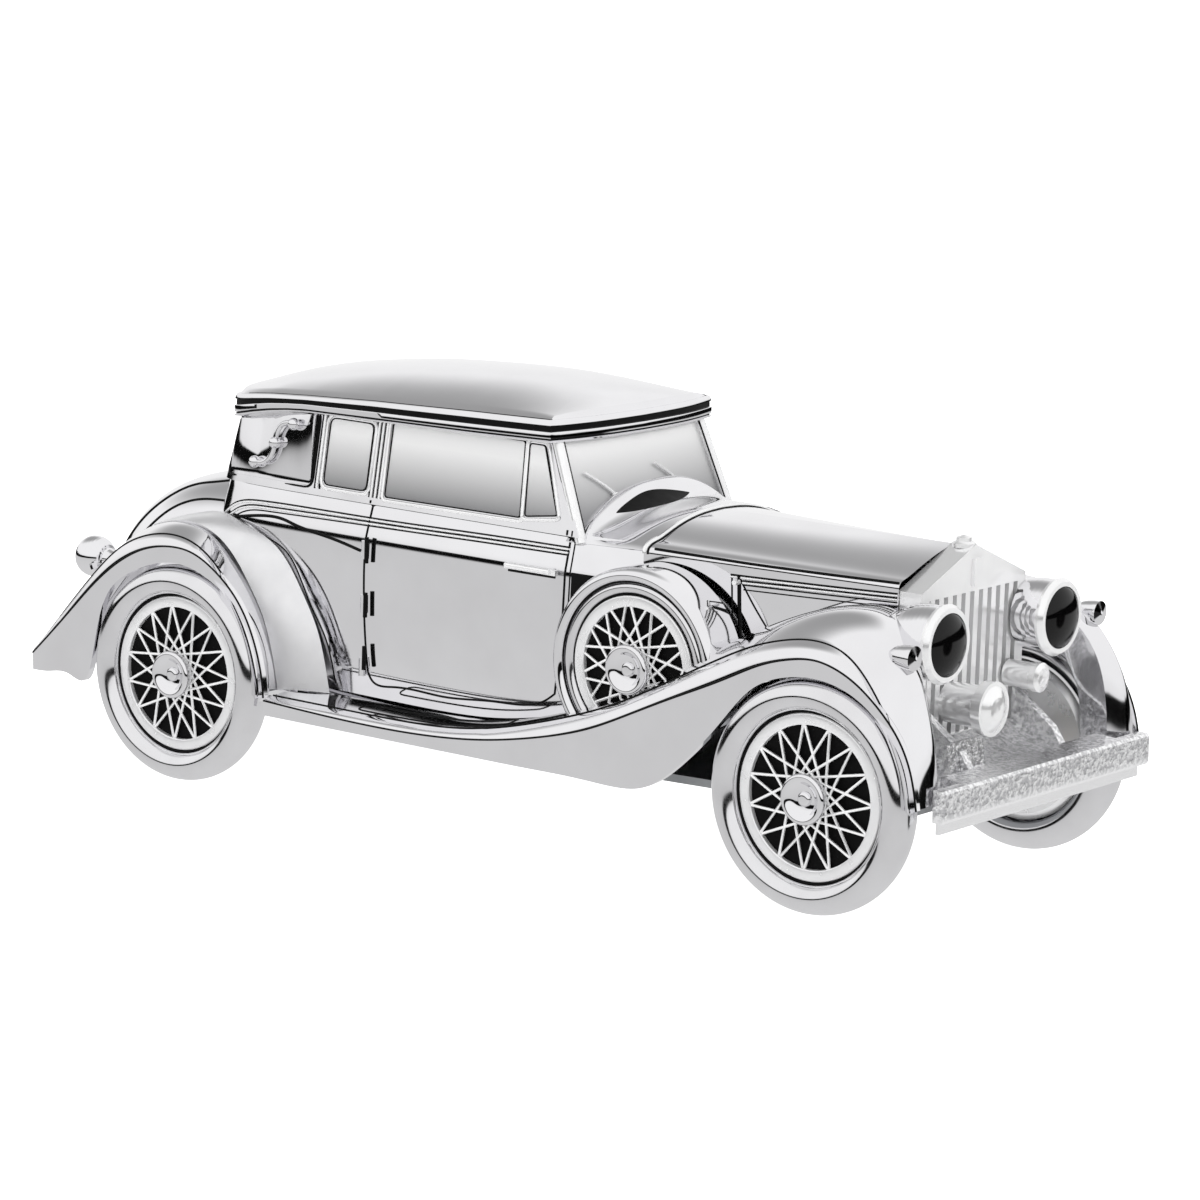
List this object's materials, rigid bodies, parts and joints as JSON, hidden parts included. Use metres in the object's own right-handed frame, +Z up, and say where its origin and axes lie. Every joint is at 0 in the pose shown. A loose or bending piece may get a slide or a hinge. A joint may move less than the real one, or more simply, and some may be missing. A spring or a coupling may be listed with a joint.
{
  "type": "diecast model car",
  "caption": "Mirror-plated diecast saloon car with flowing wings, long bonnet, side-mounted spares and rolling wire wheels on plain axles.",
  "frame": {"origin": "middle of the car's footprint on the ground, halfway between the bumper's front and the tail lamps' back", "axes": "+X towards the nose, +Y to the car's left, +Z up"},
  "size_m": [0.176, 0.0622, 0.0678],
  "materials": {
    "plated_casting": "nickel plated zinc diecasting, polished to a mirror",
    "stippled_casting": "the same plating over a finely stippled cast surface",
    "satin_window": "plated, brushed to a soft satin",
    "bright_trim": "polished nickel plate",
    "plated_tyre": "nickel plated, polished, in place of rubber",
    "plated_wheel": "bright nickel plate",
    "black_enamel": "gloss black enamel",
    "zinc_plate": "pressed plate, satin",
    "steel_screw": "plated steel",
    "steel_axle": "drawn steel rod",
    "brass_bush": "turned brass"
  },
  "bodies": {
    "car_body": {"body_shell": "plated_casting", "roof_panel": "plated_casting", "bonnet": "plated_casting", "boot_shell": "plated_casting", "wing_right": "plated_casting", "wing_left": "plated_casting", "radiator_shell": "plated_casting", "radiator_vanes": "bright_trim", "radiator_cap": "bright_trim", "headlamp_shells": "plated_casting", "headlamp_rims": "bright_trim", "headlamp_lenses": "black_enamel", "side_lamps": "bright_trim", "driving_lamp": "plated_casting", "driving_lamp_lens": "bright_trim", "horn": "plated_casting", "front_apron": "stippled_casting", "bumper": "stippled_casting", "number_plate": "stippled_casting", "windscreen": "satin_window", "wipers": "bright_trim", "side_windows": "satin_window", "rear_window": "satin_window", "door_handles": "bright_trim", "door_hinges": "bright_trim", "hood_irons": "bright_trim", "tail_lamps": "plated_casting", "rear_plate_box": "plated_casting", "spare_cover_right": "plated_casting", "spare_cover_left": "plated_casting", "spare_tyres": "plated_tyre", "spare_rims": "plated_wheel", "spare_discs": "black_enamel", "spare_spokes": "plated_wheel", "spare_hub_caps": "plated_wheel", "base_plate": "zinc_plate", "base_screws": "steel_screw", "axle_bushes": "brass_bush"},
    "front_wheelset": {"front_axle": "steel_axle", "front_right_tyre": "plated_tyre", "front_right_rim": "plated_wheel", "front_right_disc": "black_enamel", "front_right_spokes": "plated_wheel", "front_right_hub_cap": "plated_wheel", "front_left_tyre": "plated_tyre", "front_left_rim": "plated_wheel", "front_left_disc": "black_enamel", "front_left_spokes": "plated_wheel", "front_left_hub_cap": "plated_wheel"},
    "rear_wheelset": {"rear_axle": "steel_axle", "rear_right_tyre": "plated_tyre", "rear_right_rim": "plated_wheel", "rear_right_disc": "black_enamel", "rear_right_spokes": "plated_wheel", "rear_right_hub_cap": "plated_wheel", "rear_left_tyre": "plated_tyre", "rear_left_rim": "plated_wheel", "rear_left_disc": "black_enamel", "rear_left_spokes": "plated_wheel", "rear_left_hub_cap": "plated_wheel"}
  },
  "joints": [
    {"name": "front_axle_spin", "type": "hinge", "parent": "car_body", "child": "front_wheelset", "pos_m": [0.0664, 0, 0.017], "axis": [0, 1, 0], "continuous": true},
    {"name": "rear_axle_spin", "type": "hinge", "parent": "car_body", "child": "rear_wheelset", "pos_m": [-0.0536, 0, 0.017], "axis": [0, 1, 0], "continuous": true}
  ]
}
